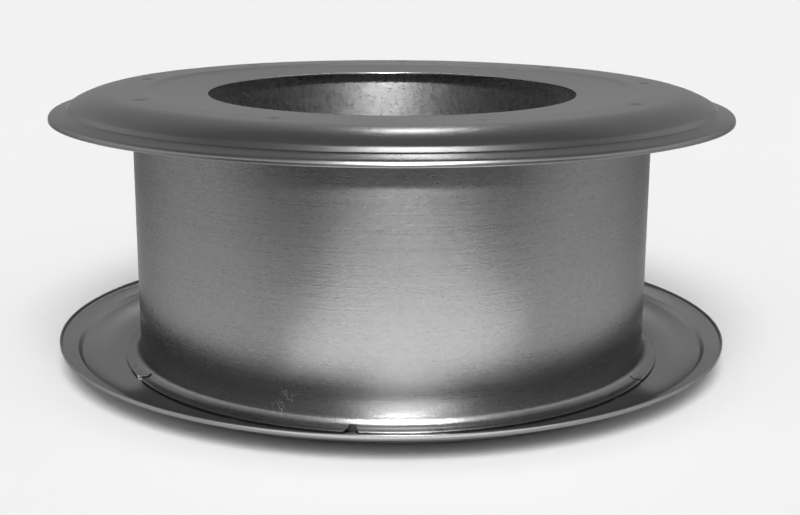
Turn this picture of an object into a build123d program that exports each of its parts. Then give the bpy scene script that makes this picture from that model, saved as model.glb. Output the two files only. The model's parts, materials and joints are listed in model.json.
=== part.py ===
from build123d import *
from math import degrees
import os

# Wall thimble of galvanised sheet steel: two flanged sleeves, one sliding inside the other,
# that carry a hot vent pipe through a wall and keep the wall an air space away from it.
# Millimetres, +Z up. It stands on its lower flange, with the origin on the axis at the floor.

# Sheet steel, the same for all four pieces
sheet = 0.55

# Vent pipe, the air space round it and how far the flanges cover the wall round the opening
pipe_diameter = 114.3
pipe_gap = 1.6
air_space = 25.4
flange_cover = 25.4

# Wall depth with the halves pushed together, from lip edge to lip edge
wall_depth = 70.0

# Pressed flange, from its edge inwards: lip, groove, riser, dome, seat ring, step and plate
lip_width = 5.3
lip_fall = 1.4
lip_edge_height = 1.6
lip_edge_radius = 1.2
riser_run = 0.5
riser_height = 1.5
dome_drop = 3.6
seat_margin = 1.2
step_run = 3.0
step_height = 0.6
plate_drop = 1.0

# Sleeves: each is a rolled strip with a lapped seam and one end slit and turned out into tabs
tab_width = 4.7
bend_radius = 1.0
edge_gap = 0.2
foot_gap = 9.5
lap_width = 12.0
slit_root = 0.5
slit_mouth = 4.6
tight_slit_mouth = 1.2
slit_rise = 2.4

# Spot welds that hold the tabs to the flange: each leaves a shallow round dent outside
weld_count = 9
dent_radius = 2.5
dent_depth = 0.2

# Angles round the axis, in degrees from the front (-Y), positive towards +X. Turning the tabs
# out opens the slits between them; one of the outer sleeve's slits stayed nearly shut.
outer_slit_angles = [-62.0, -7.0, 121.0, 180.0, 239.0]
outer_tight_slit_angle = 62.0
inner_slit_angles = [28.0, 88.0, 148.0, 208.0, 268.0, 328.0]
outer_lap_angle = 150.0
inner_lap_angle = 10.0
lower_weld_start = 10.0
upper_weld_start = 18.0

# Radii and heights that follow
hole_radius = pipe_diameter / 2 + pipe_gap
outer_sleeve_radius = pipe_diameter / 2 + air_space
slide_gap = bend_radius + edge_gap
inner_sleeve_radius = outer_sleeve_radius - sheet - slide_gap
flange_radius = outer_sleeve_radius + flange_cover
seat_outer_radius = outer_sleeve_radius + tab_width + seat_margin
seat_inner_radius = inner_sleeve_radius - sheet - seat_margin
groove_height = lip_edge_height + lip_fall
dish_height = groove_height + riser_height + dome_drop
total_height = wall_depth + 2 * dish_height
outer_sleeve_length = total_height - 3 * sheet
inner_sleeve_length = total_height - 2 * sheet - foot_gap


def turned(angle):
    """Turn about the axis that brings +X to an angle counted from the front."""
    return Rot(0, 0, angle - 90)


def flange_section():
    """Section of the pressed sheet, lip edge at height 0 and seat ring up."""
    groove = (flange_radius - lip_width, groove_height)
    dome_end = (flange_radius - lip_width - riser_run, groove_height + riser_height)
    plate = Polyline(
        (hole_radius - sheet, dish_height - step_height - plate_drop),
        (seat_inner_radius - step_run, dish_height - step_height),
        (seat_inner_radius, dish_height),
        (seat_outer_radius, dish_height),
    )
    dome = TangentArc((seat_outer_radius, dish_height), dome_end, tangent=(1, 0))
    riser = Line(dome_end, groove)
    lip = FilletPolyline(
        groove,
        (flange_radius, lip_edge_height),
        (flange_radius, 0),
        radius=lip_edge_radius,
    )
    outer_face = Wire([*plate.edges(), dome.edge(), riser.edge(), *lip.edges()])
    return make_face(offset(outer_face, amount=sheet, side=Side.RIGHT, kind=Kind.INTERSECTION).edges())


def weld_dents(sleeve_radius, first_angle):
    """Round dents of the spot welds, as the balls that press them into the seat ring."""
    ball_radius = (dent_radius**2 + dent_depth**2) / (2 * dent_depth)
    weld_radius = sleeve_radius + (bend_radius + tab_width) / 2
    ball = Pos(weld_radius, 0, dish_height + ball_radius - dent_depth) * Sphere(ball_radius)
    return [turned(first_angle + 360 / weld_count * i) * ball for i in range(weld_count)]


def flange(sleeve_radius, first_weld):
    """Flange with its lip edge at height 0, dished upwards and welded to a sleeve of that radius."""
    pressing = revolve(Plane.XZ * flange_section(), axis=Axis.Z)
    punch = Cylinder(hole_radius, dish_height, align=(Align.CENTER, Align.CENTER, Align.MIN))
    return pressing - punch - weld_dents(sleeve_radius, first_weld)


def slit(sleeve_radius, angle, width):
    """Cutter for one slit between two tabs, open to that width at the tabs' edge."""
    root = sleeve_radius - 2 * sheet
    mouth = sleeve_radius + tab_width + sheet
    outline = Polyline(
        (root, -slit_root / 2),
        (mouth, -width / 2),
        (mouth, width / 2),
        (root, slit_root / 2),
        close=True,
    )
    return turned(angle) * extrude(make_face(outline), amount=slit_rise)


def sleeve(radius, length, slits, lap_inner_radius, lap_angle):
    """Sleeve standing on its turned-out tabs, tabs' underside at height 0, radius to its outside."""
    tab_edge = radius + tab_width
    inside = FilletPolyline(
        (tab_edge, 0),
        (radius - sheet, 0),
        (radius - sheet, length),
        radius=bend_radius + sheet,
    )
    outside = FilletPolyline((tab_edge, sheet), (radius, sheet), (radius, length), radius=bend_radius)
    tab_end = Line((tab_edge, 0), (tab_edge, sheet))
    wall_end = Line((radius - sheet, length), (radius, length))
    section = make_face([*inside.edges(), *outside.edges(), tab_end, wall_end])
    wall = revolve(Plane.XZ * section, axis=Axis.Z)

    lap_foot = sheet + bend_radius
    lap_size = length - lap_foot
    lap_section = Pos(lap_inner_radius, lap_foot) * Rectangle(sheet, lap_size, align=(Align.MIN, Align.MIN))
    lap_turn = degrees(lap_width / radius)
    lap = revolve(Plane.XZ * lap_section, axis=Axis.Z, revolution_arc=lap_turn)
    wall = wall + turned(lap_angle - lap_turn / 2) * lap
    return wall - [slit(radius, angle, width) for angle, width in slits]


def upside_down(piece, height):
    """Piece turned over by mirroring, with its height 0 brought to the given height."""
    return Pos(0, 0, height) * mirror(piece, about=Plane.XY)


outer_slits = [(angle, slit_mouth) for angle in outer_slit_angles]
outer_slits.append((outer_tight_slit_angle, tight_slit_mouth))
inner_slits = [(angle, slit_mouth) for angle in inner_slit_angles]

lower_flange = upside_down(flange(outer_sleeve_radius, lower_weld_start), dish_height)

outer_sleeve = Pos(0, 0, sheet) * sleeve(
    outer_sleeve_radius,
    outer_sleeve_length,
    outer_slits,
    outer_sleeve_radius,
    outer_lap_angle,
)

upper_flange = Pos(0, 0, total_height - dish_height) * flange(inner_sleeve_radius, upper_weld_start)

inner_sleeve = upside_down(
    sleeve(
        inner_sleeve_radius,
        inner_sleeve_length,
        inner_slits,
        inner_sleeve_radius - 2 * sheet,
        inner_lap_angle,
    ),
    total_height - sheet,
)

os.makedirs("parts", exist_ok=True)
export_step(lower_flange, "parts/lower_flange.step")
export_step(outer_sleeve, "parts/outer_sleeve.step")
export_step(upper_flange, "parts/upper_flange.step")
export_step(inner_sleeve, "parts/inner_sleeve.step")
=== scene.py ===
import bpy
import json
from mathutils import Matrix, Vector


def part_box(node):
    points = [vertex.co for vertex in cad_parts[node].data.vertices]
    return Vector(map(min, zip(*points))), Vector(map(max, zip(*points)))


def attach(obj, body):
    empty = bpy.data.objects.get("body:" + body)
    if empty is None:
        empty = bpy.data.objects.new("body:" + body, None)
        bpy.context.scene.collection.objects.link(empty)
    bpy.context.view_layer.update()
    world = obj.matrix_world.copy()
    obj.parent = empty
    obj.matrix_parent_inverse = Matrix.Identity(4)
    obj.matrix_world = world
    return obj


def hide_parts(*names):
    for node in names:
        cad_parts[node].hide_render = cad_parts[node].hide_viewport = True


bl_info = {
    "name": "Wall Thimble",
    "version": (1, 0, 0),
    "blender": (4, 5, 0),
    "location": "3D View > Sidebar > Thimble",
    "description": "Models and lights the pressed flanges and rolled sleeves of a wall thimble",
    "category": "Object",
}

import json
from math import asin, atan2, ceil, copysign, cos, degrees, pi, radians, sin, tan

import bpy
import numpy as np
from bpy.props import FloatProperty, FloatVectorProperty, IntProperty, PointerProperty
from mathutils import Matrix, Vector

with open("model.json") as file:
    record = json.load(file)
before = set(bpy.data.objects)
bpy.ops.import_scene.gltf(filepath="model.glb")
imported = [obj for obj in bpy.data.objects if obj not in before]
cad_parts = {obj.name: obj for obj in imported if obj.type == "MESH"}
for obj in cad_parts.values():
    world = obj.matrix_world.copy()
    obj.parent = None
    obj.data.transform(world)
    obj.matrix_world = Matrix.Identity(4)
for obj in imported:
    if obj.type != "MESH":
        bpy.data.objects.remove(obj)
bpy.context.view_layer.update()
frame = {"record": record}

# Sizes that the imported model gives
UPPER_LOW, UPPER_HIGH = (Vector(corner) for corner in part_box("upper_flange"))
LOWER_LOW = Vector(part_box("lower_flange")[0])
OUTER_LOW, OUTER_HIGH = (Vector(corner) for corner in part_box("outer_sleeve"))
INNER_LOW, INNER_HIGH = (Vector(corner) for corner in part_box("inner_sleeve"))
PIPE_PASSAGE = next(m for m in frame["record"]["mounts"] if m["name"] == "pipe_passage")
SHEET = OUTER_LOW.z - LOWER_LOW.z

# Angles round the axis in degrees, counted from the front (-Y) towards +X
OUTER_SLITS = (-62.0, -7.0, 121.0, 180.0, 239.0)
OUTER_TIGHT_SLITS = (62.0,)
INNER_SLITS = (28.0, 88.0, 148.0, 208.0, 268.0, 328.0)
OUTER_LAP = 150.0
INNER_LAP = 10.0
LOWER_WELD_START = 10.0
UPPER_WELD_START = 18.0

# Scuffs at the outer sleeve's foot, as (angle, height) pairs
SCUFFS = ((-20.0, 0.0087), (-22.0, 0.0046))

# Reach of a scuff, full and fading, and the band of noise that makes its scratches
SCUFF_FULL, SCUFF_END = 0.0008, 0.003
SCRATCH_FULL, SCRATCH_END = 0.012, 0.035

# How far under the tabs' top the dark of their cut edges, bare steel and painted shade, starts and is
# full
CUT_DARK_FROM, CUT_DARK_FULL = 0.00004, 0.00012

# Shares of the zinc's patterns in its shade
CRYSTAL_SHARE = 0.04
MOTTLE_SHARE = 0.58
LINES_SHARE = 0.25
CLOUD_SHARE = 0.13

# How far the patterns change the roughness, the noise that makes specks, the relief and its shares,
# and the tint of grazing reflections
CLOUD_GLOSS = 0.03
CRYSTAL_GLOSS = 0.01
LINES_GLOSS = 0.06
SPECKS_FROM, SPECKS_TO = 0.58, 0.74
RELIEF_HEIGHT = 0.00004
LINES_RELIEF = 0.3
MOTTLE_RELIEF = 0.5
GRAZING_TINT = (0.45, 0.45, 0.45, 1)

# Longest runs of the profiles, in metres
FLANGE_RUN = 0.0013
WALL_RUN = 0.0025
FOOT_RUN = 0.0008

# Radii between which the sheet's waves grow, and how strong they are on the plate
DOME_WAVES_FROM = 0.0885
DOME_WAVES_GROWTH = 0.008
LIP_WAVES_FADE = 0.003
PLATE_WAVES_FROM = 0.076
PLATE_WAVES_GROWTH = 0.01
PLATE_WAVES = 0.4

# Cut edges: their easing as a share of the sheet, the angle that counts as cut, and smooth shading
EDGE_EASE = 0.2
CUT_ANGLE = radians(60)
SMOOTH_ANGLE = radians(38)

# Lamps of the stage as (place, size)
CAMERA_LAMP = ((0.033, -0.45, 0.213), (0.018, 0.018))
BACK_WINDOW = ((0.03, 0.77, 0.72), (0.11, 0.10))
CEILING_LAMP = ((0.085, -0.55, 0.625), (0.40, 0.44))
FRONT_REFLECTOR = ((0.022, -0.181, 0.003), (0.19, 0.138))
SKY_PLACE = (0, -0.6, 1.2)
SKY_SPREAD = radians(40)
SKY_TILT = radians(35)

# Floor, and the cards that only reflections see
FLOOR_RADIUS = 6
FLOOR_COLUMNS = 96
RING_INNER = 0.115
RING_OUTER = 1.2
RING_HEIGHT = 0.002
CARD_WALL_SIZE = (2, 0.2, 1)
CARD_WALL_PLACE = (0, -0.7, 0.1)

# Where painted shade on the mirrored floor dulls it (distance from the axis) and darkens it (towards
# the camera, along Y)
SHADE_FROM, SHADE_TO = 0.15, 0.36
DARK_FROM, DARK_TO = -0.14, -0.34

# Heights in the room, as sines of the elevation
SKIRTING_TOP = 0.10
CEILING_FROM, CEILING_TO = 0.32, 0.75


class ThimbleSizes(bpy.types.PropertyGroup):
    """Sizes of the pressings and sleeves, in metres"""

    sheet: FloatProperty(
        name="Sheet",
        description="Thickness of the steel sheet",
        default=SHEET,
        unit="LENGTH",
        precision=5,
    )
    hole_radius: FloatProperty(
        name="Pipe hole radius",
        description="Radius of the hole that the vent pipe passes through",
        default=PIPE_PASSAGE["dims"]["r_mm"] / 1000,
        unit="LENGTH",
        precision=5,
    )
    plate_drop: FloatProperty(
        name="Plate drop",
        description="How far the plate falls from the step to the pipe hole",
        default=0.001,
        unit="LENGTH",
        precision=5,
    )
    step_height: FloatProperty(
        name="Step height",
        description="Rise from the plate to the seat ring",
        default=0.0006,
        unit="LENGTH",
        precision=5,
    )
    step_run: FloatProperty(
        name="Step run", description="Width of the step", default=0.003, unit="LENGTH", precision=5
    )
    seat_margin: FloatProperty(
        name="Seat margin",
        description="Room on the seat ring inside the sleeve and outside the tabs",
        default=0.0012,
        unit="LENGTH",
        precision=5,
    )
    riser_run: FloatProperty(
        name="Riser run",
        description="Width of the riser",
        default=0.0012,
        unit="LENGTH",
        precision=5,
    )
    riser_height: FloatProperty(
        name="Riser height",
        description="Height of the riser over the groove",
        default=0.0015,
        unit="LENGTH",
        precision=5,
    )
    lip_width: FloatProperty(
        name="Lip width",
        description="From the groove to the flange's edge",
        default=0.0053,
        unit="LENGTH",
        precision=5,
    )
    lip_fall: FloatProperty(
        name="Lip fall",
        description="Fall of the lip from the groove outwards",
        default=0.0014,
        unit="LENGTH",
        precision=5,
    )
    lip_edge_height: FloatProperty(
        name="Lip edge height",
        description="Height of the turned-down edge",
        default=0.0016,
        unit="LENGTH",
        precision=5,
    )
    lip_edge_radius: FloatProperty(
        name="Lip edge radius",
        description="Outside bend of the lip's edge",
        default=0.0012,
        unit="LENGTH",
        precision=5,
    )
    riser_radius: FloatProperty(
        name="Riser radius",
        description="Rounding at the top of the riser",
        default=0.0022,
        unit="LENGTH",
        precision=5,
    )
    groove_radius: FloatProperty(
        name="Groove radius",
        description="Rounding at the foot of the riser",
        default=0.00025,
        unit="LENGTH",
        precision=5,
    )
    step_radius: FloatProperty(
        name="Step radius",
        description="Rounding of the step's corners",
        default=0.004,
        unit="LENGTH",
        precision=5,
    )
    tab_width: FloatProperty(
        name="Tab width",
        description="How far the tabs turn out",
        default=0.0047,
        unit="LENGTH",
        precision=5,
    )
    bend_radius: FloatProperty(
        name="Bend radius",
        description="Outside bend from sleeve to tab",
        default=0.001,
        unit="LENGTH",
        precision=5,
    )
    foot_radius: FloatProperty(
        name="Foot radius",
        description="Outside bend at the outer sleeve's foot",
        default=0.0028,
        unit="LENGTH",
        precision=5,
    )
    lap_width: FloatProperty(
        name="Lap width",
        description="Overlap of the sleeve's seam",
        default=0.012,
        unit="LENGTH",
        precision=5,
    )
    slit_root: FloatProperty(
        name="Slit root",
        description="Slit's width at the sleeve",
        default=0.0005,
        unit="LENGTH",
        precision=5,
    )
    slit_mouth: FloatProperty(
        name="Slit mouth",
        description="Slit's width at the tabs' edge",
        default=0.0046,
        unit="LENGTH",
        precision=5,
    )
    tight_slit_mouth: FloatProperty(
        name="Tight slit mouth",
        description="Width of the slit that stayed nearly shut",
        default=0.0012,
        unit="LENGTH",
        precision=5,
    )
    slit_rise: FloatProperty(
        name="Slit rise",
        description="How far the slits run up the sleeve",
        default=0.0024,
        unit="LENGTH",
        precision=5,
    )
    foot_slit_rise: FloatProperty(
        name="Foot slit rise",
        description="How far the slits run up the bend of the outer sleeve's foot",
        default=0.0013,
        unit="LENGTH",
        precision=5,
    )
    weld_count: IntProperty(name="Welds", description="Spot welds on each flange", default=9)
    dent_radius: FloatProperty(
        name="Dent radius",
        description="Reach of a spot weld's dent",
        default=0.0032,
        unit="LENGTH",
        precision=5,
    )
    dent_depth: FloatProperty(
        name="Dent depth",
        description="Depth of a spot weld's dent",
        default=0.0003,
        unit="LENGTH",
        precision=5,
    )
    wave_depth: FloatProperty(
        name="Sheet waves",
        description="Unevenness of the pressed sheet",
        default=0.00016,
        unit="LENGTH",
        precision=5,
    )
    wave_size: FloatProperty(
        name="Wave size",
        description="Width of the sheet's waves",
        default=0.03,
        unit="LENGTH",
        precision=5,
    )
    columns: IntProperty(name="Columns", description="Divisions round the axis", default=480)


class ThimbleFinish(bpy.types.PropertyGroup):
    """Colours and gloss of the galvanised sheet"""

    zinc: FloatVectorProperty(
        name="Zinc",
        description="Colour of the zinc",
        default=(0.33, 0.33, 0.33),
        size=3,
        subtype="COLOR",
        min=0,
        max=1,
    )
    dull_zinc: FloatVectorProperty(
        name="Dull zinc",
        description="Colour of the darker zinc crystals",
        default=(0.24, 0.24, 0.24),
        size=3,
        subtype="COLOR",
        min=0,
        max=1,
    )
    pit: FloatVectorProperty(
        name="Pits",
        description="Colour of pits and dirt",
        default=(0.12, 0.12, 0.12),
        size=3,
        subtype="COLOR",
        min=0,
        max=1,
    )
    # Near-black cut edges: bare steel, and painted shade in the slits, along the tabs' edges and on the
    # seat ring under them
    cut_edge_and_shade: FloatVectorProperty(
        name="Cut edges",
        description="Colour of the tabs' cut edges",
        default=(0.04, 0.04, 0.04),
        size=3,
        subtype="COLOR",
        min=0,
        max=1,
    )
    bare_metal: FloatVectorProperty(
        name="Bare metal",
        description="Colour of fresh scratches",
        default=(0.9, 0.9, 0.9),
        size=3,
        subtype="COLOR",
        min=0,
        max=1,
    )
    crystal_size: FloatProperty(
        name="Crystal size",
        description="Size of the zinc crystals",
        default=0.0012,
        unit="LENGTH",
        precision=5,
    )
    sleeve_roughness: FloatProperty(
        name="Sleeve roughness",
        description="Mean roughness of the rolled sheet",
        default=0.28,
        subtype="FACTOR",
    )
    flange_roughness: FloatProperty(
        name="Flange roughness",
        description="Mean roughness of the pressed sheet",
        default=0.26,
        subtype="FACTOR",
    )


class ThimbleStage(bpy.types.PropertyGroup):
    """Floor, lamps and camera"""

    floor: FloatVectorProperty(
        name="Floor",
        description="Colour of the floor",
        default=(0.88, 0.88, 0.88),
        size=3,
        subtype="COLOR",
        min=0,
        max=1,
    )
    # Painted shade: the mirrored floor darker away from the thimble
    shaded_mirrored_floor: FloatVectorProperty(
        name="Mirrored floor",
        description="Colour of the floor as the steel mirrors it",
        default=(0.55, 0.55, 0.55),
        size=3,
        subtype="COLOR",
        min=0,
        max=1,
    )
    # Painted shade: the mirrored floor darkest towards the camera
    shaded_front_floor: FloatVectorProperty(
        name="Mirrored front",
        description="The same towards the camera",
        default=(0.08, 0.08, 0.08),
        size=3,
        subtype="COLOR",
        min=0,
        max=1,
    )
    skirting: FloatVectorProperty(
        name="Skirting",
        description="Light from low on the room's walls",
        default=(0.35, 0.35, 0.35),
        size=3,
        subtype="COLOR",
    )
    walls: FloatVectorProperty(
        name="Walls",
        description="Light from the room's walls",
        default=(0.78, 0.78, 0.78),
        size=3,
        subtype="COLOR",
    )
    ceiling: FloatVectorProperty(
        name="Ceiling",
        description="Light from the room's ceiling",
        default=(0.16, 0.16, 0.16),
        size=3,
        subtype="COLOR",
    )
    sky_strength: FloatProperty(
        name="Sky strength",
        description="Strength of the soft light from above",
        default=2.6,
    )
    lamp_power: FloatProperty(
        name="Lamp power",
        description="Power of the lamp over the camera",
        default=4.8,
        unit="POWER",
    )
    window_power: FloatProperty(
        name="Window power",
        description="Power of the small window behind",
        default=0.6,
        unit="POWER",
    )
    ceiling_power: FloatProperty(
        name="Ceiling lamp power",
        description="Power of the wide lamp high in front",
        default=5.6,
        unit="POWER",
    )
    reflector_power: FloatProperty(
        name="Reflector power",
        description="Power of the bright card before the thimble",
        default=0.096,
        unit="POWER",
    )
    camera_distance: FloatProperty(
        name="Camera distance",
        description="From the axis to the camera",
        default=0.4436,
        unit="LENGTH",
    )
    camera_height: FloatProperty(
        name="Camera height",
        description="Height of the camera over the floor",
        default=0.13595,
        unit="LENGTH",
    )
    camera_side: FloatProperty(
        name="Camera side",
        description="Camera's place to the right of the axis",
        default=0.0027,
        unit="LENGTH",
    )
    camera_pitch: FloatProperty(
        name="Camera pitch",
        description="How far the camera looks down",
        default=radians(13.482),
        subtype="ANGLE",
    )
    camera_roll: FloatProperty(
        name="Camera roll",
        description="Camera's lean",
        default=radians(0.274),
        subtype="ANGLE",
    )
    lens: FloatProperty(
        name="Lens",
        description="Focal length for a 36 mm wide sensor",
        default=62.03,
        unit="CAMERA",
    )


# Profiles


def bend_points(before, corner, after, bend, steps=6):
    """Points of the arc that rounds a corner between two straight runs."""
    into = (corner - before).normalized()
    out = (after - corner).normalized()
    turn = atan2(into.x * out.y - into.y * out.x, into.dot(out))
    start = corner - into * bend * tan(abs(turn) / 2)
    side = copysign(1, turn)
    centre = start + Vector((-into.y, into.x)) * side * bend
    spoke = start - centre
    return [centre + Matrix.Rotation(turn * i / steps, 2) @ spoke for i in range(steps + 1)]


def rounded(corners):
    """Polyline through (radius, height, bend) corners, each rounded by its bend."""
    places = [Vector(corner[:2]) for corner in corners]
    points = [places[0]]
    for i in range(1, len(corners) - 1):
        bend = corners[i][2]
        if bend > 0:
            points += bend_points(places[i - 1], places[i], places[i + 1], bend)
        else:
            points.append(places[i])
    return points + [places[-1]]


def divided(points, longest):
    """The same polyline with no run longer than the given length."""
    out = [points[0]]
    for start, end in zip(points[:-1], points[1:]):
        count = max(1, ceil((end - start).length / longest))
        out += [start.lerp(end, i / count) for i in range(1, count + 1)]
    return out


def around(angle, radius, height):
    """Point at an angle from the front, a radius and a height."""
    turn = radians(angle)
    return Vector((radius * sin(turn), -radius * cos(turn), height))


# Modelling steps


def turned_sheet(name, profile, columns):
    """Sheet turned about the axis, pulled ring by ring along (radius, height) points."""
    bpy.ops.object.select_all(action="DESELECT")
    bpy.ops.mesh.primitive_circle_add(vertices=columns, radius=profile[0].x, fill_type="NOTHING")
    piece = bpy.context.object
    piece.name = name
    piece.data.name = name
    bpy.ops.object.mode_set(mode="EDIT")
    bpy.ops.mesh.select_mode(type="VERT")
    bpy.ops.mesh.select_all(action="SELECT")
    bpy.ops.transform.translate(value=(0, 0, profile[0].y))
    for last, point in zip(profile[:-1], profile[1:]):
        bpy.ops.mesh.extrude_region_move(TRANSFORM_OT_translate={"value": (0, 0, point.y - last.y)})
        scale = point.x / last.x
        bpy.ops.transform.resize(value=(scale, scale, 1), center_override=(0, 0, point.y))
    bpy.ops.object.mode_set(mode="OBJECT")
    return piece


def places(piece):
    """Coordinates of a piece's vertices as an array."""
    flat = np.empty(len(piece.data.vertices) * 3)
    piece.data.vertices.foreach_get("co", flat)
    return flat.reshape(-1, 3)


def pick(piece, vertices=(), faces=()):
    """Select only the given vertices or faces of a piece."""
    mesh = piece.data
    for group in (mesh.vertices, mesh.edges, mesh.polygons):
        group.foreach_set("select", np.zeros(len(group), bool))
    for i in vertices:
        mesh.vertices[i].select = True
    for i in faces:
        mesh.polygons[i].select = True
    bpy.ops.object.select_all(action="DESELECT")
    piece.select_set(True)
    bpy.context.view_layer.objects.active = piece


def push(piece, point, move, reach):
    """Push the sheet at a point by a move that dies away within the reach."""
    nearest = int(np.argmin(np.sum((places(piece) - np.array(point)) ** 2, axis=1)))
    pick(piece, vertices=[nearest])
    bpy.ops.object.mode_set(mode="EDIT")
    bpy.ops.mesh.select_mode(type="VERT")
    bpy.ops.transform.translate(
        value=move,
        use_proportional_edit=True,
        use_proportional_connected=True,
        proportional_edit_falloff="SMOOTH",
        proportional_size=reach,
    )
    bpy.ops.object.mode_set(mode="OBJECT")


def refine(piece, point, reach):
    """Divide the faces within reach of a point, for a small form to come there."""
    centre = Vector(point)
    near = [face.index for face in piece.data.polygons if (face.center - centre).length < reach]
    pick(piece, faces=near)
    bpy.ops.object.mode_set(mode="EDIT")
    bpy.ops.mesh.select_mode(type="FACE")
    bpy.ops.mesh.subdivide(number_cuts=2)
    bpy.ops.object.mode_set(mode="OBJECT")


def wave(piece, depth, size, weight_of):
    """Uneven sheet: soft waves of a depth and size, weighted by each vertex's place."""
    group = piece.vertex_groups.new(name="waves")
    for i, place in enumerate(places(piece)):
        weight = weight_of(place)
        if weight > 0:
            group.add([i], weight, "REPLACE")
    texture = bpy.data.textures.new(piece.name + "_waves", "CLOUDS")
    texture.noise_scale = size
    texture.noise_depth = 1
    waves = piece.modifiers.new("waves", "DISPLACE")
    waves.texture = texture
    waves.texture_coords = "LOCAL"
    waves.strength = depth * 2
    waves.mid_level = 0.5
    waves.vertex_group = group.name
    apply_modifier(piece, waves)


def apply_modifier(piece, modifier):
    """Apply one modifier of a piece."""
    bpy.ops.object.select_all(action="DESELECT")
    piece.select_set(True)
    bpy.context.view_layer.objects.active = piece
    bpy.ops.object.modifier_apply(modifier=modifier.name)


def thicken(piece, thickness):
    """Give the sheet its thickness, behind the face that was modelled, and ease its cut edges."""
    wall = piece.modifiers.new("wall", "SOLIDIFY")
    wall.thickness = thickness
    wall.offset = -1
    wall.use_even_offset = True
    apply_modifier(piece, wall)
    ease = piece.modifiers.new("ease", "BEVEL")
    ease.width = thickness * EDGE_EASE
    ease.segments = 2
    ease.limit_method = "ANGLE"
    ease.angle_limit = CUT_ANGLE
    apply_modifier(piece, ease)


def finish_piece(piece, material, node, body):
    """Smooth shading, material and place in the frame."""
    pick(piece)
    bpy.ops.object.shade_smooth_by_angle(angle=SMOOTH_ANGLE)
    piece.data.materials.clear()
    piece.data.materials.append(material)
    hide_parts(node)
    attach(piece, body)


# Galvanised finish


def add_node(tree, kind, **values):
    """Node with the given properties, or input values where a key names an input."""
    node = tree.nodes.new(kind)
    for key, value in values.items():
        if hasattr(node, key):
            setattr(node, key, value)
        else:
            node.inputs[key.replace("_", " ").title()].default_value = value
    return node


def stretched_noise(tree, coordinates, scale, detail, roughness=0.5):
    """Noise on coordinates that a scale for each axis, in waves per metre, stretches."""
    stretch = add_node(tree, "ShaderNodeVectorMath", operation="MULTIPLY")
    stretch.inputs[1].default_value = scale
    tree.links.new(coordinates, stretch.inputs[0])
    noise = add_node(tree, "ShaderNodeTexNoise", scale=1.0, detail=detail, roughness=roughness)
    tree.links.new(stretch.outputs[0], noise.inputs["Vector"])
    return noise.outputs["Fac"]


def remapped(tree, value, low, high, to_low, to_high):
    """Value brought from one range to another, clamped."""
    node = add_node(tree, "ShaderNodeMapRange", clamp=True)
    node.inputs["From Min"].default_value = low
    node.inputs["From Max"].default_value = high
    node.inputs["To Min"].default_value = to_low
    node.inputs["To Max"].default_value = to_high
    tree.links.new(value, node.inputs["Value"])
    return node.outputs["Result"]


def combined(tree, operation, *values):
    """Result of one operation on sockets and numbers."""
    node = add_node(tree, "ShaderNodeMath", operation=operation)
    for socket, value in zip(node.inputs, values):
        if isinstance(value, (int, float)):
            socket.default_value = value
        else:
            tree.links.new(value, socket)
    return node.outputs[0]


def mixed(tree, factor, first, second):
    """Two colours mixed by a factor; each is a socket or a colour."""
    node = add_node(tree, "ShaderNodeMix", data_type="RGBA")
    tree.links.new(factor, node.inputs["Factor"])
    for socket, value in zip((node.inputs[6], node.inputs[7]), (first, second)):
        if isinstance(value, bpy.types.NodeSocket):
            tree.links.new(value, socket)
        else:
            socket.default_value = (*value, 1)
    return node.outputs[2]


def along_axis(tree, place, axis):
    """One coordinate of a place."""
    axes = add_node(tree, "ShaderNodeSeparateXYZ")
    tree.links.new(place, axes.inputs[0])
    return axes.outputs[axis]


def from_axis(tree, place):
    """Distance of a place from the thimble's axis."""
    flat = add_node(tree, "ShaderNodeVectorMath", operation="MULTIPLY")
    flat.inputs[1].default_value = (1, 1, 0)
    tree.links.new(place, flat.inputs[0])
    radius = add_node(tree, "ShaderNodeVectorMath", operation="LENGTH")
    tree.links.new(flat.outputs[0], radius.inputs[0])
    return radius.outputs["Value"]


def painted_shade_ring(tree, place, inner, outer, top):
    """Painted shade under the tabs: 1 low on the ring between two radii, which only the slits show."""
    soft = 0.0005
    radius = from_axis(tree, place)
    outside = remapped(tree, radius, inner, inner + soft, 0, 1)
    inside = remapped(tree, radius, outer - soft, outer, 1, 0)
    low = remapped(tree, along_axis(tree, place, "Z"), top, top + soft, 1, 0)
    return combined(tree, "MULTIPLY", combined(tree, "MULTIPLY", outside, inside), low)


def scuff(tree, place, centre):
    """How scuffed a place is: thin scratches within a few millimetres of a point."""
    away = add_node(tree, "ShaderNodeVectorMath", operation="DISTANCE")
    away.inputs[1].default_value = centre
    tree.links.new(place, away.inputs[0])
    near = remapped(tree, away.outputs["Value"], SCUFF_FULL, SCUFF_END, 1, 0)
    squiggle = stretched_noise(tree, place, (560, 560, 330), 1)
    line = combined(tree, "ABSOLUTE", combined(tree, "SUBTRACT", squiggle, 0.5))
    scratch = remapped(tree, line, SCRATCH_FULL, SCRATCH_END, 1, 0)
    return combined(tree, "MULTIPLY", near, scratch)


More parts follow.
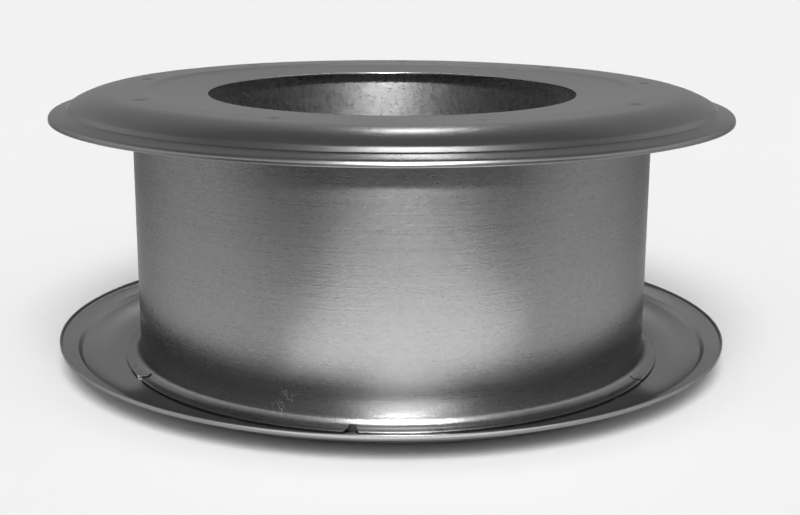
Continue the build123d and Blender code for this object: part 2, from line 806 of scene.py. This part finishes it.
def galvanised(name, finish, roughness, lines, grain, pits, wear_and_shade):
    """Zinc-coated sheet: crystals, lines, specks, clouds, and wear and painted shade as (amount,
    colour) pairs.
    """
    material = bpy.data.materials.new(name)
    material.use_nodes = True
    tree = material.node_tree
    shader = tree.nodes["Principled BSDF"]
    shader.inputs["Metallic"].default_value = 1.0
    shader.inputs["Specular Tint"].default_value = GRAZING_TINT
    place = add_node(tree, "ShaderNodeTexCoord").outputs["Object"]

    crystals = add_node(tree, "ShaderNodeTexVoronoi", feature="F1", scale=1 / finish.crystal_size)
    tree.links.new(place, crystals.inputs["Vector"])
    tone = add_node(tree, "ShaderNodeSeparateColor")
    tree.links.new(crystals.outputs["Color"], tone.inputs[0])
    crystal = tone.outputs[0]
    mottle = stretched_noise(tree, place, (600, 600, 1100), 4, 0.65)
    streak = lines(tree, place)
    cloud = stretched_noise(tree, place, (40, 40, 30), 3)

    shade = combined(tree, "MULTIPLY", mottle, MOTTLE_SHARE)
    shade = combined(tree, "MULTIPLY_ADD", crystal, CRYSTAL_SHARE, shade)
    shade = combined(tree, "MULTIPLY_ADD", streak, LINES_SHARE, shade)
    shade = combined(tree, "MULTIPLY_ADD", cloud, CLOUD_SHARE, shade)
    spread = 0.27 / grain
    shade = remapped(tree, shade, 0.5 - spread, 0.5 + spread, 0, 1)
    colour = mixed(tree, shade, finish.dull_zinc, finish.zinc)
    specks = stretched_noise(tree, place, (520, 520, 1500), 2)
    specks = remapped(tree, specks, SPECKS_FROM, SPECKS_TO, 0, pits)
    colour = mixed(tree, specks, colour, finish.pit)
    # wear, and painted shade, mixed into the colour
    for amount, wear_and_shade_colour in wear_and_shade(tree, place):
        colour = mixed(tree, amount, colour, wear_and_shade_colour)
    tree.links.new(colour, shader.inputs["Base Color"])

    smoothest = roughness - CLOUD_GLOSS / 2 - (CRYSTAL_GLOSS + LINES_GLOSS) / 2 * grain
    gloss = combined(tree, "MULTIPLY_ADD", cloud, CLOUD_GLOSS, smoothest)
    gloss = combined(tree, "MULTIPLY_ADD", crystal, CRYSTAL_GLOSS * grain, gloss)
    gloss = combined(tree, "MULTIPLY_ADD", streak, LINES_GLOSS * grain, gloss)
    tree.links.new(gloss, shader.inputs["Roughness"])

    fine = stretched_noise(tree, place, (1900, 1900, 2600), 1)
    relief = combined(tree, "MULTIPLY", mottle, MOTTLE_RELIEF)
    relief = combined(tree, "MULTIPLY_ADD", streak, LINES_RELIEF, relief)
    relief = combined(tree, "ADD", fine, relief)
    bump = add_node(tree, "ShaderNodeBump")
    bump.inputs["Strength"].default_value = min(1.0, grain)
    bump.inputs["Distance"].default_value = RELIEF_HEIGHT
    tree.links.new(relief, bump.inputs["Height"])
    tree.links.new(bump.outputs["Normal"], shader.inputs["Normal"])
    return material


def cut_edge_shade(tree, place, height):
    """How near a place is to the tabs' cut edges, dark as bare steel and as painted shade: 1 below a
    height just under the tabs' top.
    """
    z = along_axis(tree, place, "Z")
    return remapped(tree, z, height - CUT_DARK_FULL, height - CUT_DARK_FROM, 1, 0)


def rolling_lines(tree, place):
    """Fine lines round the sleeve, long along it and thin in height."""
    return stretched_noise(tree, place, (22, 22, 2600), 2)


def spangle(tree, place):
    """Blotches of zinc crystals, a little taller than wide."""
    return stretched_noise(tree, place, (700, 700, 350), 3, 0.6)


def pressing_lines(tree, place):
    """Fine rings round the axis, as a press leaves them."""
    rings = add_node(tree, "ShaderNodeVectorMath", operation="SCALE")
    rings.inputs[0].default_value = (0, 0, 2200)
    tree.links.new(from_axis(tree, place), rings.inputs["Scale"])
    wide = add_node(tree, "ShaderNodeVectorMath", operation="MULTIPLY_ADD")
    wide.inputs[1].default_value = (20, 20, 0)
    tree.links.new(place, wide.inputs[0])
    tree.links.new(rings.outputs[0], wide.inputs[2])
    noise = add_node(tree, "ShaderNodeTexNoise", scale=1.0, detail=2.0)
    tree.links.new(wide.outputs[0], noise.inputs["Vector"])
    return noise.outputs["Fac"]


# Pieces


def flange_profile(sizes):
    """Outer face of the pressing from pipe hole to lip edge, as (radius, height over that edge)."""
    edge_radius = min(UPPER_HIGH.x, -UPPER_LOW.x)
    dish = UPPER_HIGH.z - UPPER_LOW.z
    seat_outer = OUTER_HIGH.x + sizes.seat_margin
    seat_inner = INNER_HIGH.x - sizes.tab_width - sizes.sheet - sizes.seat_margin
    groove_height = sizes.lip_edge_height + sizes.lip_fall
    groove_at = edge_radius - sizes.lip_width
    dome_end = Vector((groove_at - sizes.riser_run, groove_height + sizes.riser_height))
    run = dome_end.x - seat_outer
    drop = dish - dome_end.y
    dome_radius = (run**2 + drop**2) / (2 * drop)
    dome_turn = asin(run / dome_radius)
    dome_steps = 14
    dome = [
        (
            seat_outer + dome_radius * sin(dome_turn * i / dome_steps),
            dish - dome_radius * (1 - cos(dome_turn * i / dome_steps)),
            0,
        )
        for i in range(dome_steps)
    ]
    corners = [
        (sizes.hole_radius, dish - sizes.step_height - sizes.plate_drop, 0),
        (seat_inner - sizes.step_run, dish - sizes.step_height, sizes.step_radius),
        (seat_inner, dish, sizes.step_radius),
        *dome,
        (dome_end.x, dome_end.y, sizes.riser_radius),
        (groove_at, groove_height, sizes.groove_radius),
        (edge_radius, sizes.lip_edge_height, sizes.lip_edge_radius),
        (edge_radius, 0, 0),
    ]
    return divided(rounded(corners), FLANGE_RUN)


def dome_weight(place):
    """Waves lie on the dome and the lip, a little on the plate, and not on the seat ring."""
    radius = (place[0] ** 2 + place[1] ** 2) ** 0.5
    grown = (radius - DOME_WAVES_FROM) / DOME_WAVES_GROWTH
    faded = (UPPER_HIGH.x - radius) / LIP_WAVES_FADE
    inside = (PLATE_WAVES_FROM - radius) / PLATE_WAVES_GROWTH
    return max(0.0, min(1.0, max(min(grown, faded), PLATE_WAVES * inside)))


def weld_points(sizes, tab_edge, start, height):
    """Centres of the spot welds on the ring of tabs with that outer radius."""
    radius = tab_edge - sizes.tab_width + (sizes.bend_radius + sizes.tab_width) / 2
    return [around(start + 360 / sizes.weld_count * i, radius, height) for i in range(sizes.weld_count)]


class OBJECT_OT_thimble_flanges(bpy.types.Operator):
    """Model the upper flange, then turn a copy over for the lower one"""

    bl_idname = "object.thimble_flanges"
    bl_label = "Flanges"

    def execute(self, context):
        sizes = context.scene.thimble_sizes
        finish = context.scene.thimble_finish
        profile = [point + Vector((0, UPPER_LOW.z)) for point in flange_profile(sizes)]
        upper = turned_sheet("upper_flange_pressing", profile, sizes.columns)
        bpy.ops.object.duplicate()
        lower = context.object
        lower.name = "lower_flange_pressing"
        lower.data.name = lower.name
        lower.rotation_euler.x = pi
        lower.location.z = UPPER_HIGH.z + LOWER_LOW.z
        bpy.ops.object.transform_apply(location=True, rotation=True)

        tab_edge = OUTER_HIGH.x - sizes.seat_margin / 2

        def flange_painted_shade(tree, place):
            # painted shade on the seat ring under the tabs, as dark as the cut edges
            shade_under_tabs = painted_shade_ring(tree, place, tab_edge - 2 * sizes.tab_width, tab_edge, 4 * sizes.sheet)
            return [(shade_under_tabs, finish.cut_edge_and_shade)]

        material = galvanised(
            "pressed zinc",
            finish,
            finish.flange_roughness,
            pressing_lines,
            grain=0.24,
            pits=0.06,
            wear_and_shade=flange_painted_shade,
        )
        dent = Vector((0, 0, sizes.dent_depth))
        refined_reach = sizes.dent_radius * 1.3
        for piece, edge, start, face, push_in in (
            (upper, INNER_HIGH.x, UPPER_WELD_START, UPPER_HIGH.z, -dent),
            (lower, OUTER_HIGH.x, LOWER_WELD_START, LOWER_LOW.z, dent),
        ):
            wave(piece, sizes.wave_depth, sizes.wave_size, dome_weight)
            for point in weld_points(sizes, edge, start, face):
                refine(piece, point, refined_reach)
                push(piece, point, push_in, sizes.dent_radius)
            thicken(piece, sizes.sheet)
        finish_piece(upper, material, "upper_flange", "inner_half")
        finish_piece(lower, material, "lower_flange", "outer_half")
        return {"FINISHED"}


def sleeve_sheet(sizes, name, tab_edge, length, bend):
    """Sleeve standing on its turned-out tabs, outside face first, tabs' underside at height 0."""
    radius = tab_edge - sizes.tab_width
    line = rounded([(radius, length, 0), (radius, sizes.sheet, bend), (tab_edge, sizes.sheet, 0)])
    profile = divided(line[:2], WALL_RUN) + divided(line[1:], FOOT_RUN)[1:]
    return turned_sheet(name, profile, sizes.columns)


def cut_slits(piece, sizes, radius, angles, width, rise):
    """Cut the wedge-shaped slits between the tabs, open to that width at their edge and that high."""
    root = radius - 2 * sizes.sheet
    mouth = radius + sizes.tab_width + sizes.sheet
    cutters = []
    for angle in angles:
        bpy.ops.object.select_all(action="DESELECT")
        bpy.ops.mesh.primitive_cube_add(size=1, location=((root + mouth) / 2, 0, 0))
        cutter = bpy.context.object
        cutter.scale = (mouth - root, sizes.slit_root, 2 * rise)
        bpy.ops.object.transform_apply(location=True, scale=True)
        pick(cutter, vertices=[v.index for v in cutter.data.vertices if v.co.x > (root + mouth) / 2])
        bpy.ops.object.mode_set(mode="EDIT")
        bpy.ops.transform.resize(value=(1, width / sizes.slit_root, 1), center_override=(mouth, 0, 0))
        bpy.ops.object.mode_set(mode="OBJECT")
        cutter.rotation_euler.z = radians(angle - 90)
        bpy.ops.object.transform_apply(rotation=True)
        cutters.append(cutter)
    for cutter in cutters:
        cutter.select_set(True)
    bpy.context.view_layer.objects.active = cutters[0]
    if len(cutters) > 1:
        bpy.ops.object.join()
    slits = piece.modifiers.new("slits", "BOOLEAN")
    slits.operation = "DIFFERENCE"
    slits.object = cutters[0]
    apply_modifier(piece, slits)
    bpy.data.objects.remove(cutters[0])


def raise_lap(piece, sizes, radius, outside, angle):
    """Raise the second layer of the lapped seam over the wall, on its outside or inside."""
    half_turn = degrees(sizes.lap_width / radius) / 2
    face_radius = radius if outside else radius - sizes.sheet
    near_wall = sizes.sheet * 0.2
    steepest = 0.3
    lap_foot = sizes.sheet + 1.5 * sizes.foot_radius
    lap_faces = []
    for face in piece.data.polygons:
        centre = face.center
        flat = Vector((centre.x, centre.y))
        turn = degrees(atan2(centre.x, -centre.y))
        off = (turn - angle + 180) % 360 - 180
        on_wall = abs(flat.length - face_radius) < near_wall and abs(face.normal.z) < steepest
        if abs(off) < half_turn and on_wall and centre.z > lap_foot:
            lap_faces.append(face.index)
    raised = face_radius + (sizes.sheet if outside else -sizes.sheet)
    scale = raised / face_radius
    pick(piece, faces=lap_faces)
    bpy.ops.object.mode_set(mode="EDIT")
    bpy.ops.mesh.select_mode(type="FACE")
    bpy.ops.mesh.extrude_region_move()
    bpy.ops.transform.resize(value=(scale, scale, 1), center_override=(0, 0, 0))
    bpy.ops.object.mode_set(mode="OBJECT")


class OBJECT_OT_thimble_sleeves(bpy.types.Operator):
    """Model both sleeves: rolled strip, lapped seam, slits and turned-out tabs"""

    bl_idname = "object.thimble_sleeves"
    bl_label = "Sleeves"

    def execute(self, context):
        sizes = context.scene.thimble_sizes
        finish = context.scene.thimble_finish
        tab_top = OUTER_LOW.z + sizes.sheet
        outer_radius = OUTER_HIGH.x - sizes.tab_width
        tab_dent = (0, 0, -sizes.dent_depth / 4)

        def outer_wear_and_shade(tree, place):
            # cut edges near-black: bare steel, and painted shade in the slits and along the tabs' edges
            wear_and_shade = [(cut_edge_shade(tree, place, tab_top), finish.cut_edge_and_shade)]
            for angle, height in SCUFFS:
                scuffed = scuff(tree, place, around(angle, outer_radius, height))
                wear_and_shade.append((scuffed, finish.bare_metal))
            return wear_and_shade

        def no_wear(tree, place):
            return []

        roughness = finish.sleeve_roughness
        rolled = galvanised(
            "rolled zinc", finish, roughness, rolling_lines, grain=0.9, pits=0.2, wear_and_shade=outer_wear_and_shade
        )
        spangled = galvanised(
            "spangled zinc", finish, roughness, spangle, grain=1.5, pits=0.03, wear_and_shade=no_wear
        )
        for name, low, high, slits, lap, outside, weld_start, node, body in (
            (
                "outer_sleeve_strip", OUTER_LOW, OUTER_HIGH, OUTER_SLITS, OUTER_LAP, True,
                LOWER_WELD_START, "outer_sleeve", "outer_half",
            ),
            (
                "inner_sleeve_strip", INNER_LOW, INNER_HIGH, INNER_SLITS, INNER_LAP, False,
                UPPER_WELD_START, "inner_sleeve", "inner_half",
            ),
        ):
            length = high.z - low.z
            radius = high.x - sizes.tab_width
            bend = sizes.foot_radius if outside else sizes.bend_radius
            piece = sleeve_sheet(sizes, name, high.x, length, bend)
            for point in weld_points(sizes, high.x, weld_start, sizes.sheet):
                push(piece, point, tab_dent, sizes.dent_radius)
            thicken(piece, sizes.sheet)
            raise_lap(piece, sizes, radius, outside, lap)
            rise = sizes.foot_slit_rise if outside else sizes.slit_rise
            cut_slits(piece, sizes, radius, slits, sizes.slit_mouth, rise)
            if outside:
                cut_slits(piece, sizes, radius, OUTER_TIGHT_SLITS, sizes.tight_slit_mouth, rise)
                piece.location.z = low.z
            else:
                piece.scale.z = -1
                piece.location.z = high.z
            pick(piece)
            bpy.ops.object.transform_apply(location=True, scale=True)
            if not outside:
                bpy.ops.object.mode_set(mode="EDIT")
                bpy.ops.mesh.select_all(action="SELECT")
                bpy.ops.mesh.flip_normals()
                bpy.ops.object.mode_set(mode="OBJECT")
            finish_piece(piece, rolled if outside else spangled, node, body)
        return {"FINISHED"}


# Stage


def room_light(stage):
    """World: pale walls, darker low down and overhead."""
    world = bpy.data.worlds.new("room")
    world.use_nodes = True
    tree = world.node_tree
    direction = add_node(tree, "ShaderNodeTexCoord").outputs["Generated"]
    height = along_axis(tree, direction, "Z")
    low = remapped(tree, height, 0, SKIRTING_TOP, 0, 1)
    up = remapped(tree, height, CEILING_FROM, CEILING_TO, 0, 1)
    colour = mixed(tree, up, mixed(tree, low, stage.skirting, stage.walls), stage.ceiling)
    tree.links.new(colour, tree.nodes["Background"].inputs["Color"])
    bpy.context.scene.world = world


def area_lamp(name, place, size, aim, power):
    """Lamp of a size at a place, facing a point, that lights only what mirrors it."""
    bpy.ops.object.light_add(type="AREA", location=place)
    lamp = bpy.context.object
    lamp.name = name
    lamp.data.shape = "RECTANGLE"
    lamp.data.size, lamp.data.size_y = size
    lamp.data.energy = power
    lamp.rotation_euler = (Vector(aim) - Vector(place)).to_track_quat("-Z", "Y").to_euler()
    lamp.visible_camera = False
    lamp.visible_diffuse = False


def reflected_only(card):
    """Let only reflections see a card of the stage."""
    for kind in ("camera", "diffuse", "transmission", "volume_scatter", "shadow"):
        setattr(card, "visible_" + kind, False)


def painted_shade_card_material(stage):
    """Paper with painted shade: it dulls away from the thimble and darkens towards the camera."""
    material = bpy.data.materials.new("painted shade paper")
    material.use_nodes = True
    tree = material.node_tree
    shader = tree.nodes["Principled BSDF"]
    shader.inputs["Roughness"].default_value = 1.0
    shader.inputs["Specular IOR Level"].default_value = 0.0
    place = add_node(tree, "ShaderNodeTexCoord").outputs["Object"]
    radius = add_node(tree, "ShaderNodeVectorMath", operation="LENGTH")
    tree.links.new(place, radius.inputs[0])
    # painted shade: the mirrored floor dulls with distance and darkens towards the camera
    far = remapped(tree, radius.outputs["Value"], SHADE_FROM, SHADE_TO, 0, 1)
    front = remapped(tree, along_axis(tree, place, "Y"), DARK_FROM, DARK_TO, 0, 1)
    colour = mixed(tree, front, mixed(tree, far, stage.floor, stage.shaded_mirrored_floor), stage.shaded_front_floor)
    tree.links.new(colour, shader.inputs["Base Color"])
    return material


def mirrored_cards(stage):
    """The room as the steel mirrors it, with painted shade: a ring round the thimble and a low wall
    behind the camera.
    """
    material = painted_shade_card_material(stage)
    edges = [Vector((radius, RING_HEIGHT)) for radius in (RING_INNER, RING_OUTER)]
    ring = turned_sheet("mirrored_floor", edges, FLOOR_COLUMNS)
    bpy.ops.mesh.primitive_plane_add(size=1, rotation=(pi / 2, 0, 0))
    wall = bpy.context.object
    wall.name = "mirrored_wall"
    wall.scale = CARD_WALL_SIZE
    wall.location = CARD_WALL_PLACE
    bpy.ops.object.transform_apply(location=True, rotation=True, scale=True)
    for card in (ring, wall):
        card.data.materials.append(material)
        reflected_only(card)


class OBJECT_OT_thimble_stage(bpy.types.Operator):
    """Floor, room light, lamps and camera"""

    bl_idname = "object.thimble_stage"
    bl_label = "Stage"

    def execute(self, context):
        stage = context.scene.thimble_stage
        bpy.ops.object.select_all(action="DESELECT")
        bpy.ops.mesh.primitive_circle_add(
            vertices=FLOOR_COLUMNS, radius=FLOOR_RADIUS, fill_type="NGON", location=(0, 0, LOWER_LOW.z)
        )
        floor = context.object
        floor.name = "floor"
        paper = bpy.data.materials.new("paper")
        paper.use_nodes = True
        shader = paper.node_tree.nodes["Principled BSDF"]
        shader.inputs["Base Color"].default_value = (*stage.floor, 1)
        shader.inputs["Roughness"].default_value = 0.9
        shader.inputs["Specular IOR Level"].default_value = 0.1
        floor.data.materials.append(paper)
        room_light(stage)

        middle = (0, 0, UPPER_HIGH.z / 2)
        bpy.ops.object.light_add(type="SUN", location=SKY_PLACE)
        sky = context.object
        sky.name = "soft_light"
        sky.data.energy = stage.sky_strength
        sky.data.angle = SKY_SPREAD
        sky.rotation_euler.x = SKY_TILT
        sky.visible_glossy = False
        above = (*FRONT_REFLECTOR[0][:2], 1)
        area_lamp("camera_lamp", *CAMERA_LAMP, middle, stage.lamp_power)
        area_lamp("back_window", *BACK_WINDOW, middle, stage.window_power)
        area_lamp("ceiling_lamp", *CEILING_LAMP, middle, stage.ceiling_power)
        area_lamp("front_reflector", *FRONT_REFLECTOR, above, stage.reflector_power)
        mirrored_cards(stage)

        bpy.ops.object.camera_add(
            location=(stage.camera_side, -stage.camera_distance, stage.camera_height)
        )
        camera = context.object
        camera.name = "photo_camera"
        tilt = Matrix.Rotation(pi / 2 - stage.camera_pitch, 3, "X")
        lean = Matrix.Rotation(stage.camera_roll, 3, "Z")
        camera.rotation_euler = (tilt @ lean).to_euler()
        camera.data.lens = stage.lens
        camera.data.sensor_fit = "HORIZONTAL"
        camera.data.sensor_width = 36
        camera.data.clip_start = 0.01
        context.scene.camera = camera
        context.scene.view_settings.view_transform = "Standard"
        return {"FINISHED"}


class VIEW3D_PT_thimble(bpy.types.Panel):
    """Lists the thimble's steps and sizes"""

    bl_label = "Wall Thimble"
    bl_idname = "VIEW3D_PT_thimble"
    bl_space_type = "VIEW_3D"
    bl_region_type = "UI"
    bl_category = "Thimble"

    def draw(self, context):
        layout = self.layout
        for operator in OPERATORS:
            layout.operator(operator.bl_idname)
        scene = context.scene
        for group in (scene.thimble_sizes, scene.thimble_finish, scene.thimble_stage):
            column = layout.column(align=True)
            for name in group.bl_rna.properties.keys():
                if name not in ("rna_type", "name"):
                    column.prop(group, name)


OPERATORS = (OBJECT_OT_thimble_flanges, OBJECT_OT_thimble_sleeves, OBJECT_OT_thimble_stage)
GROUPS = {"thimble_sizes": ThimbleSizes, "thimble_finish": ThimbleFinish, "thimble_stage": ThimbleStage}


def register():
    for group in GROUPS.values():
        bpy.utils.register_class(group)
    for name, group in GROUPS.items():
        setattr(bpy.types.Scene, name, PointerProperty(type=group))
    for shown in (*OPERATORS, VIEW3D_PT_thimble):
        bpy.utils.register_class(shown)


def unregister():
    for shown in (VIEW3D_PT_thimble, *reversed(OPERATORS)):
        bpy.utils.unregister_class(shown)
    for name, group in GROUPS.items():
        delattr(bpy.types.Scene, name)
        bpy.utils.unregister_class(group)


def main():
    register()
    bpy.ops.object.thimble_flanges()
    bpy.ops.object.thimble_sleeves()
    bpy.ops.object.thimble_stage()


if __name__ == "__main__":
    main()
